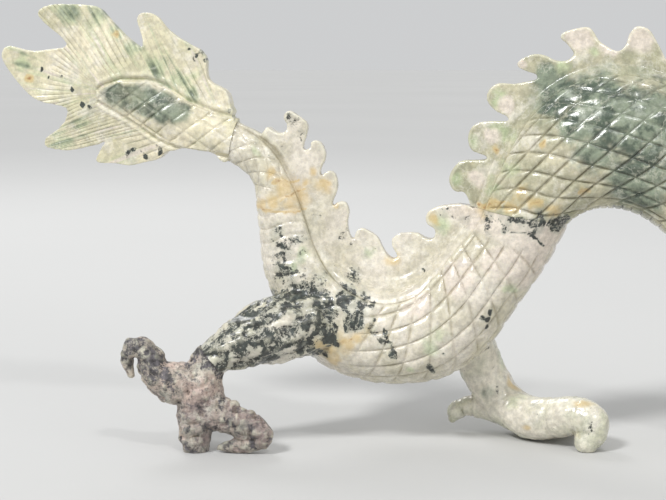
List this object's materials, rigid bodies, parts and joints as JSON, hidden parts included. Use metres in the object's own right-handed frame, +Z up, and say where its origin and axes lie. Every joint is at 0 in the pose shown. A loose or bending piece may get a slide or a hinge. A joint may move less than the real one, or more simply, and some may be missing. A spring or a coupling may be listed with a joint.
{
  "type": "jade figurine",
  "caption": "Standing carved hardstone dragon with an arched scaly body, toothed back crest, flame tail, clawed feet and horned head; stands free as an ornament.",
  "frame": {"origin": "middle of the whole figure's footprint, on the ground plane its soles stand on", "axes": "+Z up, +X from the tail to the snout, -Y the near side, which faces the camera"},
  "size_m": [0.336, 0.072, 0.131],
  "materials": {
    "tail_fan": "polished, mottled green, cream and brown",
    "hind_body": "polished, mottled green, cream and brown",
    "near_hind_foot": "matt, mottled pinkish grey",
    "far_hind_leg": "polished, mottled green, cream and brown",
    "mid_body": "polished, mottled green, cream and brown",
    "fore_body": "polished, mottled green, cream and brown",
    "near_fore_leg": "polished, mottled green, cream and brown",
    "far_fore_leg": "polished, mottled green, cream and brown",
    "head": "polished, mottled green, cream and brown",
    "near_horn": "polished, mottled green, cream and brown",
    "far_horn": "polished, mottled green, cream and brown",
    "tail_fan_pin": "plain drawn rod",
    "waist_pin_back": "plain drawn rod",
    "waist_pin_belly": "plain drawn rod",
    "chest_pin_back": "plain drawn rod",
    "chest_pin_belly": "plain drawn rod",
    "neck_pin": "plain drawn rod",
    "near_hind_foot_pin": "plain drawn rod",
    "far_hind_leg_pin": "plain drawn rod",
    "near_fore_leg_pin": "plain drawn rod",
    "far_fore_leg_pin": "plain drawn rod",
    "near_horn_pin": "plain drawn rod",
    "far_horn_pin": "plain drawn rod"
  },
  "bodies": {
    "root": {"tail_fan": "tail_fan", "hind_body": "hind_body", "near_hind_foot": "near_hind_foot", "far_hind_leg": "far_hind_leg", "mid_body": "mid_body", "fore_body": "fore_body", "near_fore_leg": "near_fore_leg", "far_fore_leg": "far_fore_leg", "head": "head", "near_horn": "near_horn", "far_horn": "far_horn", "tail_fan_pin": "tail_fan_pin", "waist_pin_back": "waist_pin_back", "waist_pin_belly": "waist_pin_belly", "chest_pin_back": "chest_pin_back", "chest_pin_belly": "chest_pin_belly", "neck_pin": "neck_pin", "near_hind_foot_pin": "near_hind_foot_pin", "far_hind_leg_pin": "far_hind_leg_pin", "near_fore_leg_pin": "near_fore_leg_pin", "far_fore_leg_pin": "far_fore_leg_pin", "near_horn_pin": "near_horn_pin", "far_horn_pin": "far_horn_pin"}
  },
  "joints": []
}
